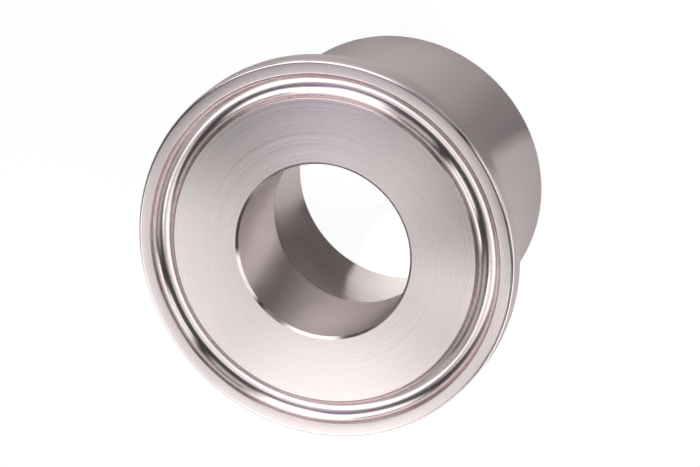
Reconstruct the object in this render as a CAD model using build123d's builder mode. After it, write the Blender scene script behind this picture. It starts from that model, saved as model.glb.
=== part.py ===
from build123d import *
import math
import os

# A sanitary clamp adapter, turned from one bar of stainless steel.
# It stands on its plain end. Z is the bore axis, and the clamp face is on top.

# Length and plain body
length = 34.0
body_diameter = 40.2
body_edge_chamfer = 0.3

# Clamp flange: a plain rim, and a back that slopes to suit the clamp's jaws
flange_diameter = 50.5
rim_thickness = 3.3
flange_back_angle = 20.0
face_edge_chamfer = 0.3
back_edge_chamfer = 0.25
neck_radius = 1.2

# Gasket groove in the clamp face: one arc of a round-nosed tool, with crisp lips
groove_diameter = 43.8
groove_arc_radius = 1.62
groove_depth = 1.36

# Stepped bore: a narrow front bore, then a wider socket that opens at the plain end
bore_diameter = 23.1
bore_depth = 14.7
bore_mouth_chamfer = 0.25
bore_inner_edge_chamfer = 0.15
socket_diameter = 28.4
socket_mouth_chamfer = 0.6

# Radii of the section
body_r = body_diameter / 2
flange_r = flange_diameter / 2
bore_r = bore_diameter / 2
socket_r = socket_diameter / 2
groove_r = groove_diameter / 2

# Heights above the plain end
step_z = length - bore_depth
rim_z = length - rim_thickness
neck_z = rim_z - (flange_r - body_r) * math.tan(math.radians(flange_back_angle))
groove_centre_z = length - groove_depth + groove_arc_radius


def corner(section, r, z):
    """The corner of the section at radius r and height z."""
    return section.vertices().sort_by_distance((r, z, 0))[0]


with BuildPart() as clamp_adapter:
    with BuildSketch(Plane.XZ) as section:
        # Half section: up the outside from the plain end, across the face and down the bore
        with BuildLine():
            Polyline(
                (socket_r, 0),
                (body_r, 0),
                (body_r, neck_z),
                (flange_r, rim_z),
                (flange_r, length),
                (bore_r, length),
                (bore_r, step_z),
                (socket_r, step_z),
                close=True,
            )
        make_face()

        # Gasket groove, cut by a round-nosed tool
        with Locations((groove_r, groove_centre_z)):
            Circle(groove_arc_radius, mode=Mode.SUBTRACT)

        # Neck, where the flange's sloping back runs into the body
        fillet(corner(section, body_r, neck_z), neck_radius)

        # Broken edges: both sides of the rim, the bore's mouth and step, and the plain end
        chamfer(corner(section, flange_r, length), face_edge_chamfer)
        chamfer(corner(section, flange_r, rim_z), back_edge_chamfer)
        chamfer(corner(section, bore_r, length), bore_mouth_chamfer)
        chamfer(corner(section, bore_r, step_z), bore_inner_edge_chamfer)
        chamfer(corner(section, socket_r, 0), socket_mouth_chamfer)
        chamfer(corner(section, body_r, 0), body_edge_chamfer)
    revolve(axis=Axis.Z)

clamp_adapter.part.label = "clamp_adapter"
os.makedirs("parts", exist_ok=True)
export_step(clamp_adapter.part, "parts/clamp_adapter.step")
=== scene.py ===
import math

import bmesh
import bpy
from mathutils import Matrix, Vector


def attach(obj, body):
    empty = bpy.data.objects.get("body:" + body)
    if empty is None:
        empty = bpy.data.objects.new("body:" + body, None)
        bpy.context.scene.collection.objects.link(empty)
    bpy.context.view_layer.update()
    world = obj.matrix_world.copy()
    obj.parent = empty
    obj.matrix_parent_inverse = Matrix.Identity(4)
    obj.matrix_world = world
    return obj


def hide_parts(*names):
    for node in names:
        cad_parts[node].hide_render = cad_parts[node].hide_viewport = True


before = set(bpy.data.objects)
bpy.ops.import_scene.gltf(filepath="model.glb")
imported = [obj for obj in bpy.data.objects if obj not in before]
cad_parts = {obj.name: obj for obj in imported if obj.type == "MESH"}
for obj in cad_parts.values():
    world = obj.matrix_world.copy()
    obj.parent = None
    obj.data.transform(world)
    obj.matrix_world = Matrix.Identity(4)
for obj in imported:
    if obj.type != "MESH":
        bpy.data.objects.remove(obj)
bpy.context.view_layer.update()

scene = bpy.context.scene
scene.view_settings.view_transform = "Standard"

# The clamp adapter
# A sanitary clamp adapter, turned from one bar of stainless steel. The clamp face and its outer
# land are faced, the groove and the edges are polished, and the walls keep their turning marks.

length = 0.0340
body_radius = 0.0201
flange_radius = 0.02524
rim_thickness = 0.0033
back_slope = math.radians(20)
bore_radius = 0.01155
bore_depth = 0.0147
socket_radius = 0.0142
groove_radius = 0.0219
groove_arc_radius = 0.00162
groove_depth = 0.00136

face_edge_rounding = 0.00043
back_edge_rounding = 0.00025
neck_rounding = 0.0012
groove_lip_rounding = 0.00012
bore_mouth_rounding = 0.00033
bore_step_rounding = 0.00015
socket_corner_rounding = 0.0004
socket_mouth_rounding = 0.0006
body_edge_rounding = 0.0003

steps_round = 256
merge_distance = 0.000001
wall_margin = 0.00001
step_edge_width = 0.0001
sharp_angle = math.radians(40)

rim_height = length - rim_thickness
neck_height = rim_height - (flange_radius - body_radius) * math.tan(back_slope)
step_height = length - bore_depth
groove_centre = Vector((groove_radius, 0, length - groove_depth + groove_arc_radius))
groove_half_angle = math.acos((groove_arc_radius - groove_depth) / groove_arc_radius)
groove_half_width = groove_arc_radius * math.sin(groove_half_angle)


def round_corner(profile, r, z, rounding, turn=math.radians(90), segments=6):
    """Rounds the corner of the profile at radius r and height z, which turns by that angle."""
    place = Vector((r, 0, z))
    corner = min(profile.verts, key=lambda v: (v.co - place).length)
    bmesh.ops.bevel(
        profile,
        geom=[corner],
        offset=rounding * math.tan(turn / 2),
        segments=segments,
        profile=0.5,
        affect="VERTICES",
        material=-1,
    )


turned = bmesh.new()
outline = [
    (groove_radius + groove_half_width, length),
    (flange_radius, length),
    (flange_radius, rim_height),
    (body_radius, neck_height),
    (body_radius, 0),
    (socket_radius, 0),
    (socket_radius, step_height),
    (bore_radius, step_height),
    (bore_radius, length),
    (groove_radius - groove_half_width, length),
]
points = [turned.verts.new((r, 0, z)) for r, z in outline]
for here, there in zip(points, points[1:]):
    turned.edges.new((here, there))

# The groove is one arc from its outer lip to its inner lip
bmesh.ops.spin(
    turned,
    geom=[points[0]],
    cent=groove_centre,
    axis=(0, 1, 0),
    angle=2 * groove_half_angle,
    steps=28,
)
bmesh.ops.remove_doubles(turned, verts=turned.verts[:], dist=merge_distance)

round_corner(turned, groove_radius + groove_half_width, length, groove_lip_rounding, groove_half_angle)
round_corner(turned, groove_radius - groove_half_width, length, groove_lip_rounding, groove_half_angle)
round_corner(turned, flange_radius, length, face_edge_rounding)
round_corner(turned, flange_radius, rim_height, back_edge_rounding, math.radians(70))
round_corner(turned, body_radius, neck_height, neck_rounding, math.radians(70))
round_corner(turned, body_radius, 0, body_edge_rounding)
round_corner(turned, socket_radius, 0, socket_mouth_rounding)
round_corner(turned, socket_radius, step_height, socket_corner_rounding)
round_corner(turned, bore_radius, step_height, bore_step_rounding)
round_corner(turned, bore_radius, length, bore_mouth_rounding, segments=1)

bmesh.ops.spin(
    turned,
    geom=turned.verts[:] + turned.edges[:],
    cent=(0, 0, 0),
    axis=(0, 0, 1),
    angle=math.radians(360),
    steps=steps_round,
    use_merge=True,
)
bmesh.ops.remove_doubles(turned, verts=turned.verts[:], dist=merge_distance)
bmesh.ops.recalc_face_normals(turned, faces=turned.faces[:])

# Each face gets the number of its finish, in the order of the list of finishes below
turned_wall, faced, polished, bored_wall, socket_wall = range(5)
for face in turned.faces:
    face.smooth = True
    middle = face.calc_center_median()
    r = middle.xy.length
    if length - middle.z < merge_distance:
        face.material_index = faced
    elif middle.z > rim_height and bore_radius + wall_margin < r < flange_radius - wall_margin:
        face.material_index = polished
    elif r < bore_radius + step_edge_width:
        face.material_index = bored_wall
    elif r < socket_radius + wall_margin:
        face.material_index = socket_wall
for edge in turned.edges:
    edge.smooth = edge.calc_face_angle(0) < sharp_angle

mesh = bpy.data.meshes.new("turned_adapter")
turned.to_mesh(mesh)
turned.free()
adapter = bpy.data.objects.new("turned_adapter", mesh)
scene.collection.objects.link(adapter)

wall_steel = (0.43, 0.374, 0.372)
face_steel = (0.61, 0.546, 0.54)
bright_steel = (0.7, 0.62, 0.615)
bore_steel = (0.57, 0.495, 0.492)
dull_steel = (0.5, 0.43, 0.42)

# How far a mark changes over one radian round the part, against one step of the feed
mark_change = 0.08
gloss_spread = 0.2


def turned_steel(name, colour, roughness, smear, mark_spacing, mark_depth, mark_shade):
    """Bare turned steel. Its marks run round the part, and smear what it reflects across them."""
    finish = bpy.data.materials.new(name)
    finish.use_nodes = True
    nodes = finish.node_tree.nodes
    links = finish.node_tree.links
    shader = nodes["Principled BSDF"]
    shader.inputs["Metallic"].default_value = 1
    shader.inputs["Anisotropic"].default_value = smear
    shader.inputs["Anisotropic Rotation"].default_value = 0.25
    tangent = nodes.new("ShaderNodeTangent")
    tangent.direction_type = "RADIAL"
    tangent.axis = "Z"
    links.new(tangent.outputs["Tangent"], shader.inputs["Tangent"])

    # The tool's travel is measured along the radius and the height together, so that the
    # marks are rings on the face and in the groove, and rings on the walls too
    place = nodes.new("ShaderNodeTexCoord")
    height = nodes.new("ShaderNodeSeparateXYZ")
    links.new(place.outputs["Object"], height.inputs["Vector"])
    flat = nodes.new("ShaderNodeVectorMath")
    flat.operation = "MULTIPLY"
    flat.inputs[1].default_value = (1, 1, 0)
    links.new(place.outputs["Object"], flat.inputs[0])
    radius = nodes.new("ShaderNodeVectorMath")
    radius.operation = "LENGTH"
    links.new(flat.outputs["Vector"], radius.inputs[0])
    travel = nodes.new("ShaderNodeMath")
    travel.operation = "SUBTRACT"
    links.new(radius.outputs["Value"], travel.inputs[0])
    links.new(height.outputs["Z"], travel.inputs[1])
    feed = nodes.new("ShaderNodeMath")
    feed.operation = "DIVIDE"
    feed.inputs[1].default_value = mark_spacing
    links.new(travel.outputs["Value"], feed.inputs[0])
    around = nodes.new("ShaderNodeVectorMath")
    around.operation = "NORMALIZE"
    links.new(flat.outputs["Vector"], around.inputs[0])
    change = nodes.new("ShaderNodeVectorMath")
    change.operation = "SCALE"
    change.inputs["Scale"].default_value = mark_change
    links.new(around.outputs["Vector"], change.inputs[0])
    ring = nodes.new("ShaderNodeSeparateXYZ")
    links.new(change.outputs["Vector"], ring.inputs["Vector"])
    path = nodes.new("ShaderNodeCombineXYZ")
    links.new(ring.outputs["X"], path.inputs["X"])
    links.new(ring.outputs["Y"], path.inputs["Y"])
    links.new(feed.outputs["Value"], path.inputs["Z"])
    marks = nodes.new("ShaderNodeTexNoise")
    marks.inputs["Scale"].default_value = 1
    marks.inputs["Detail"].default_value = 1
    marks.inputs["Roughness"].default_value = 0.6
    links.new(path.outputs["Vector"], marks.inputs["Vector"])
    bump = nodes.new("ShaderNodeBump")
    bump.inputs["Strength"].default_value = 1
    bump.inputs["Distance"].default_value = mark_depth
    links.new(marks.outputs["Fac"], bump.inputs["Height"])
    links.new(bump.outputs["Normal"], shader.inputs["Normal"])
    gloss = nodes.new("ShaderNodeMapRange")
    gloss.inputs["To Min"].default_value = roughness * (1 - gloss_spread)
    gloss.inputs["To Max"].default_value = roughness * (1 + gloss_spread)
    links.new(marks.outputs["Fac"], gloss.inputs["Value"])
    links.new(gloss.outputs["Result"], shader.inputs["Roughness"])
    shade = nodes.new("ShaderNodeMapRange")
    shade.inputs["From Min"].default_value = 0.3
    shade.inputs["From Max"].default_value = 0.7
    shade.inputs["To Min"].default_value = 1 - mark_shade
    shade.inputs["To Max"].default_value = 1 + mark_shade
    links.new(marks.outputs["Fac"], shade.inputs["Value"])
    shaded = nodes.new("ShaderNodeVectorMath")
    shaded.operation = "SCALE"
    shaded.inputs[0].default_value = colour
    links.new(shade.outputs["Result"], shaded.inputs["Scale"])
    links.new(shaded.outputs["Vector"], shader.inputs["Base Color"])
    return finish


finishes = [
    turned_steel("turned_wall", wall_steel, 0.4, 1, 0.0004, 0.000008, 0.02),
    turned_steel("faced_steel", face_steel, 0.28, 0.8, 0.0005, 0.000006, 0.02),
    turned_steel("polished_steel", bright_steel, 0.16, 0.9, 0.0002, 0.000001, 0.02),
    turned_steel("bored_wall", bore_steel, 0.42, 1, 0.0004, 0.000008, 0.03),
    turned_steel("socket_wall", dull_steel, 0.2, 1, 0.0004, 0.00001, 0.2),
]
for steel in finishes:
    mesh.materials.append(steel)

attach(adapter, "root")
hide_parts("clamp_adapter")

# The floor
# A plain matt white sheet that the adapter stands on. It is overexposed in the picture, apart
# from a trace of the adapter's shadow. The steel reflects it darker, and darker still inside
# the bore, where a painted shade under the adapter dims the white that the steel sees.

floor_albedo = 0.8
white_in_camera = 0.96
white_in_steel = 0.19
# Painted shade under the adapter: inside the bore the steel sees the floor's white dimmed to this
white_in_painted_shade = 0.02
under_adapter = 0.0095
clear_of_adapter = 0.015
floor_drop = 0.00002

floor_mesh = bpy.data.meshes.new("floor_sheet")
sheet = bmesh.new()
bmesh.ops.create_grid(sheet, x_segments=1, y_segments=1, size=3)
sheet.to_mesh(floor_mesh)
sheet.free()
floor = bpy.data.objects.new("floor_sheet", floor_mesh)
floor.location.z = -floor_drop
scene.collection.objects.link(floor)

floor_paint = bpy.data.materials.new("white_floor")
floor_paint.use_nodes = True
floor_nodes = floor_paint.node_tree.nodes
floor_links = floor_paint.node_tree.links
matt = floor_nodes["Principled BSDF"]
matt.inputs["Base Color"].default_value = (floor_albedo, floor_albedo, floor_albedo, 1)
matt.inputs["Roughness"].default_value = 0.9
matt.inputs["Specular IOR Level"].default_value = 0
white = floor_nodes.new("ShaderNodeEmission")
ray = floor_nodes.new("ShaderNodeLightPath")
in_camera = floor_nodes.new("ShaderNodeMath")
in_camera.operation = "MULTIPLY"
in_camera.inputs[1].default_value = white_in_camera
floor_place = floor_nodes.new("ShaderNodeTexCoord")
from_axis = floor_nodes.new("ShaderNodeVectorMath")
from_axis.operation = "LENGTH"
# Painted shade under the adapter, fading out between the two radii above
painted_shade_fade = floor_nodes.new("ShaderNodeMapRange")
painted_shade_fade.inputs["From Min"].default_value = under_adapter
painted_shade_fade.inputs["From Max"].default_value = clear_of_adapter
painted_shade_fade.inputs["To Min"].default_value = white_in_painted_shade
painted_shade_fade.inputs["To Max"].default_value = white_in_steel
in_steel = floor_nodes.new("ShaderNodeMath")
in_steel.operation = "MULTIPLY"
not_camera = floor_nodes.new("ShaderNodeMath")
not_camera.operation = "MAXIMUM"
share = floor_nodes.new("ShaderNodeMath")
share.operation = "ADD"
share.use_clamp = True
blend = floor_nodes.new("ShaderNodeMixShader")
floor_links.new(ray.outputs["Is Camera Ray"], in_camera.inputs[0])
floor_links.new(ray.outputs["Is Glossy Ray"], not_camera.inputs[0])
floor_links.new(ray.outputs["Is Transmission Ray"], not_camera.inputs[1])
floor_links.new(floor_place.outputs["Object"], from_axis.inputs[0])
floor_links.new(from_axis.outputs["Value"], painted_shade_fade.inputs["Value"])
floor_links.new(not_camera.outputs["Value"], in_steel.inputs[0])
floor_links.new(painted_shade_fade.outputs["Result"], in_steel.inputs[1])
floor_links.new(in_camera.outputs["Value"], share.inputs[0])
floor_links.new(in_steel.outputs["Value"], share.inputs[1])
floor_links.new(share.outputs["Value"], blend.inputs["Fac"])
floor_links.new(matt.outputs["BSDF"], blend.inputs[1])
floor_links.new(white.outputs["Emission"], blend.inputs[2])
floor_links.new(blend.outputs["Shader"], floor_nodes["Material Output"].inputs["Surface"])
floor_paint.cycles.emission_sampling = "NONE"
floor_mesh.materials.append(floor_paint)

# The light tent
# Panels of lit cloth stand close round the adapter like the walls of a tent. Each fades out at
# its edges, and the dark gaps between them draw the bands in the turned steel. All are white
# but one, which gives the top of the face its violet tone.

tent_radius = 0.25
tent_centre = Vector((0, 0, length))
fade = math.radians(12)
white_light = (1, 1, 1)
violet = (0.72, 0.59, 1)


def tent_panel(name, azimuths, elevations, strength, colour=white_light):
    """A panel of the tent, between two azimuths and two elevations in degrees."""
    first, last = map(math.radians, azimuths)
    low, high = map(math.radians, elevations)
    half_width = (last - first) / 2
    half_height = (high - low) / 2
    bottom = low - fade / 2
    top = min(high + fade / 2, math.radians(90))
    reach = half_width + fade / 2

    panel = bmesh.new()
    corner = Matrix.Rotation(-reach, 3, "Z") @ Vector((math.cos(bottom), 0, math.sin(bottom)))
    start = panel.verts.new(tent_radius * corner)
    rise = Matrix.Rotation(-reach, 3, "Z") @ Vector((0, -1, 0))
    bmesh.ops.spin(
        panel, geom=[start], cent=(0, 0, 0), axis=rise, angle=top - bottom, steps=8
    )
    bmesh.ops.spin(
        panel,
        geom=panel.verts[:] + panel.edges[:],
        cent=(0, 0, 0),
        axis=(0, 0, 1),
        angle=2 * reach,
        steps=12,
    )
    panel_mesh = bpy.data.meshes.new(name)
    panel.to_mesh(panel_mesh)
    panel.free()

    glow = bpy.data.materials.new(name)
    glow.use_nodes = True
    nodes = glow.node_tree.nodes
    links = glow.node_tree.links
    nodes.remove(nodes["Principled BSDF"])
    place = nodes.new("ShaderNodeTexCoord")
    axes = nodes.new("ShaderNodeSeparateXYZ")
    links.new(place.outputs["Object"], axes.inputs["Vector"])

    # How far the spot is from the panel's middle, sideways and upwards, as two angles
    sideways = nodes.new("ShaderNodeMath")
    sideways.operation = "ARCTAN2"
    links.new(axes.outputs["Y"], sideways.inputs[0])
    links.new(axes.outputs["X"], sideways.inputs[1])
    from_middle = nodes.new("ShaderNodeMath")
    from_middle.operation = "ABSOLUTE"
    links.new(sideways.outputs["Value"], from_middle.inputs[0])
    rise_share = nodes.new("ShaderNodeMath")
    rise_share.operation = "DIVIDE"
    rise_share.inputs[1].default_value = tent_radius
    links.new(axes.outputs["Z"], rise_share.inputs[0])
    upwards = nodes.new("ShaderNodeMath")
    upwards.operation = "ARCSINE"
    links.new(rise_share.outputs["Value"], upwards.inputs[0])
    above_middle = nodes.new("ShaderNodeMath")
    above_middle.operation = "SUBTRACT"
    above_middle.inputs[1].default_value = (low + high) / 2
    links.new(upwards.outputs["Value"], above_middle.inputs[0])
    from_level = nodes.new("ShaderNodeMath")
    from_level.operation = "ABSOLUTE"
    links.new(above_middle.outputs["Value"], from_level.inputs[0])

    side_fade = nodes.new("ShaderNodeMapRange")
    side_fade.interpolation_type = "SMOOTHSTEP"
    side_fade.inputs["From Min"].default_value = half_width + fade / 2
    side_fade.inputs["From Max"].default_value = half_width - fade / 2
    links.new(from_middle.outputs["Value"], side_fade.inputs["Value"])
    level_fade = nodes.new("ShaderNodeMapRange")
    level_fade.interpolation_type = "SMOOTHSTEP"
    level_fade.inputs["From Min"].default_value = half_height + fade / 2
    level_fade.inputs["From Max"].default_value = half_height - fade / 2
    level_fade.inputs["To Max"].default_value = strength
    links.new(from_level.outputs["Value"], level_fade.inputs["Value"])
    brightness = nodes.new("ShaderNodeMath")
    brightness.operation = "MULTIPLY"
    links.new(side_fade.outputs["Result"], brightness.inputs[0])
    links.new(level_fade.outputs["Result"], brightness.inputs[1])
    lamp = nodes.new("ShaderNodeEmission")
    lamp.inputs["Color"].default_value = (*colour, 1)
    links.new(brightness.outputs["Value"], lamp.inputs["Strength"])
    cloth = nodes.new("ShaderNodeBsdfTransparent")
    lit_cloth = nodes.new("ShaderNodeAddShader")
    links.new(lamp.outputs["Emission"], lit_cloth.inputs[0])
    links.new(cloth.outputs["BSDF"], lit_cloth.inputs[1])
    links.new(lit_cloth.outputs["Shader"], nodes["Material Output"].inputs["Surface"])

    panel_mesh.materials.append(glow)
    tent = bpy.data.objects.new(name, panel_mesh)
    tent.location = tent_centre
    tent.rotation_euler.z = (first + last) / 2
    scene.collection.objects.link(tent)
    tent.visible_camera = False
    tent.visible_shadow = False


tent_panel("panel_right", (304, 381), (29, 57), 1.55)
tent_panel("panel_right_high", (314, 355), (61, 70), 2.4)
tent_panel("panel_back_right", (57, 91), (28, 60), 1.65)
tent_panel("panel_top", (25, 72), (70, 76), 0.9, violet)
tent_panel("panel_back_left", (93, 127), (29, 67), 2.15)
tent_panel("panel_back_high", (75, 103), (70, 78), 2.6)
tent_panel("panel_left", (127, 203), (29, 54), 0.57)
tent_panel("panel_left_high", (130, 141), (66, 72), 8.4)
tent_panel("panel_front_left", (227, 255), (37, 51), 2.1)
tent_panel("panel_front", (270, 375), (29, 58), 0.66)
tent_panel("panel_back_low", (65, 160), (12, 22), 3.1)
tent_panel("panel_front_low_left", (213, 258), (17, 26), 3)
tent_panel("panel_front_low", (294, 346), (16, 25), 3)
tent_panel("panel_low_strip", (-26, 223), (-6, 3), 0.65)

# The bore lamps
# Three lamps with narrow snoots shine down the bore and light the floor inside it, which the
# bore's wall and the socket's wall reflect.

bore_lamp_distance = 0.5
bore_lamp_cone = math.radians(3.2)
bore_lamp_softness = 0.008


def bore_lamp(name, azimuth, elevation, power):
    """A lamp with a narrow snoot, aimed into the mouth of the bore."""
    lamp_data = bpy.data.lights.new(name, "SPOT")
    lamp_data.energy = power
    lamp_data.spot_size = bore_lamp_cone
    lamp_data.spot_blend = 0.2
    lamp_data.shadow_soft_size = bore_lamp_softness
    snoot = bpy.data.objects.new(name, lamp_data)
    turn = Matrix.Rotation(math.radians(azimuth), 4, "Z")
    lean = Matrix.Rotation(math.radians(90 - elevation), 4, "Y")
    aim = Matrix.Translation(tent_centre) @ turn @ lean
    snoot.matrix_world = aim @ Matrix.Translation((0, 0, bore_lamp_distance))
    scene.collection.objects.link(snoot)
    snoot.visible_glossy = False


bore_lamp("bore_lamp_front", 336, 65, 26)
bore_lamp("bore_lamp_left", 183, 72, 14)
bore_lamp("bore_lamp_right", 15, 60, 57)

# The floor lamp
# A round soft lamp on the left. It lights the floor that the adapter's side reflects, and the
# steel doesn't show the lamp itself.

floor_lamp_distance = 0.25
floor_lamp_azimuth = math.radians(190)
floor_lamp_lean = math.radians(60)
floor_lamp_size = 0.1
floor_lamp_power = 1.05

floor_lamp_data = bpy.data.lights.new("floor_lamp", "AREA")
floor_lamp_data.shape = "DISK"
floor_lamp_data.size = floor_lamp_size
floor_lamp_data.energy = floor_lamp_power
floor_lamp = bpy.data.objects.new("floor_lamp", floor_lamp_data)
floor_lamp_aim = Matrix.Rotation(floor_lamp_azimuth, 4, "Z")
floor_lamp_aim = floor_lamp_aim @ Matrix.Rotation(floor_lamp_lean, 4, "Y")
floor_lamp.matrix_world = floor_lamp_aim @ Matrix.Translation((0, 0, floor_lamp_distance))
scene.collection.objects.link(floor_lamp)
floor_lamp.visible_glossy = False

# The black card, a painted shadow
# A black card that lies on the floor in front of the adapter and fades out at both ends. It
# is a painted shadow of the adapter on the floor. Only the steel sees it, and its painted
# reflection is the soft dark band along the adapter's side.

card_first = math.radians(243)
card_darkest = math.radians(250)
card_last = math.radians(280)
card_near = 0.0203
card_far = 0.09
card_lift = 0.0002
card_strength = 0.8

# Painted shadow: a dark card that the steel reflects where the adapter's shadow lies on the floor
card_mesh = bpy.data.meshes.new("painted_shadow_card")
card_cut = bmesh.new()
edge = Matrix.Rotation(card_first, 3, "Z") @ Vector((1, 0, 0))
ends = [card_cut.verts.new(r * edge + Vector((0, 0, card_lift))) for r in (card_near, card_far)]
card_cut.edges.new(ends)
bmesh.ops.spin(
    card_cut,
    geom=card_cut.verts[:] + card_cut.edges[:],
    cent=(0, 0, 0),
    axis=(0, 0, 1),
    angle=card_last - card_first,
    steps=16,
)
card_cut.to_mesh(card_mesh)
card_cut.free()

shadow_paint = bpy.data.materials.new("painted_shadow_card")
shadow_paint.use_nodes = True
card_nodes = shadow_paint.node_tree.nodes
card_links = shadow_paint.node_tree.links
shadow_shader = card_nodes["Principled BSDF"]
shadow_shader.inputs["Base Color"].default_value = (0.02, 0.02, 0.02, 1)
shadow_shader.inputs["Roughness"].default_value = 0.9
card_place = card_nodes.new("ShaderNodeTexCoord")
card_axes = card_nodes.new("ShaderNodeSeparateXYZ")
card_links.new(card_place.outputs["Object"], card_axes.inputs["Vector"])

# The angle round the axis runs from -180 to 180 degrees, so a full turn is taken off the card's
card_angle = card_nodes.new("ShaderNodeMath")
card_angle.operation = "ARCTAN2"
card_links.new(card_axes.outputs["Y"], card_angle.inputs[0])
card_links.new(card_axes.outputs["X"], card_angle.inputs[1])
card_turn = math.radians(360)
card_fade = card_nodes.new("ShaderNodeMapRange")
card_fade.inputs["From Min"].default_value = card_last - card_turn
card_fade.inputs["From Max"].default_value = card_darkest - card_turn
card_fade.inputs["To Max"].default_value = card_strength
card_links.new(card_angle.outputs["Value"], card_fade.inputs["Value"])
card_edge = card_nodes.new("ShaderNodeMapRange")
card_edge.inputs["From Min"].default_value = card_first - card_turn
card_edge.inputs["From Max"].default_value = card_darkest - card_turn
card_links.new(card_angle.outputs["Value"], card_edge.inputs["Value"])
card_dark = card_nodes.new("ShaderNodeMath")
card_dark.operation = "MULTIPLY"
card_links.new(card_fade.outputs["Result"], card_dark.inputs[0])
card_links.new(card_edge.outputs["Result"], card_dark.inputs[1])
clear = card_nodes.new("ShaderNodeBsdfTransparent")
card_blend = card_nodes.new("ShaderNodeMixShader")
card_links.new(card_dark.outputs["Value"], card_blend.inputs["Fac"])
card_links.new(clear.outputs["BSDF"], card_blend.inputs[1])
card_links.new(shadow_shader.outputs["BSDF"], card_blend.inputs[2])
card_links.new(card_blend.outputs["Shader"], card_nodes["Material Output"].inputs["Surface"])
card_mesh.materials.append(shadow_paint)
card = bpy.data.objects.new("painted_shadow_card", card_mesh)
scene.collection.objects.link(card)
card.visible_camera = False
card.visible_shadow = False
card.visible_diffuse = False

# The room
# The dim room round the tent. Its light is faint and a little violet, and it is what the steel
# shows where no panel stands.

room = bpy.data.worlds.new("studio_room")
scene.world = room
room.use_nodes = True
room_light = room.node_tree.nodes["Background"]
room_light.inputs["Color"].default_value = (0.95, 0.88, 1, 1)
room_light.inputs["Strength"].default_value = 0.06

# The camera
# A long lens looks down into the clamp end from the front, turned so that the plain end points
# up and to the right.

camera_tilt = math.radians(24.79)
camera_roll = math.radians(-133.97)
camera_place = (-0.00075, -0.1867, 0.42845)

camera_data = bpy.data.cameras.new("camera")
camera_data.lens = 175.5
camera_data.sensor_width = 36
camera_data.clip_start = 0.01
camera_data.clip_end = 10
camera = bpy.data.objects.new("camera", camera_data)
scene.collection.objects.link(camera)
facing = Matrix.Rotation(camera_tilt, 4, "X") @ Matrix.Rotation(camera_roll, 4, "Z")
camera.matrix_world = Matrix.Translation(camera_place) @ facing
scene.camera = camera
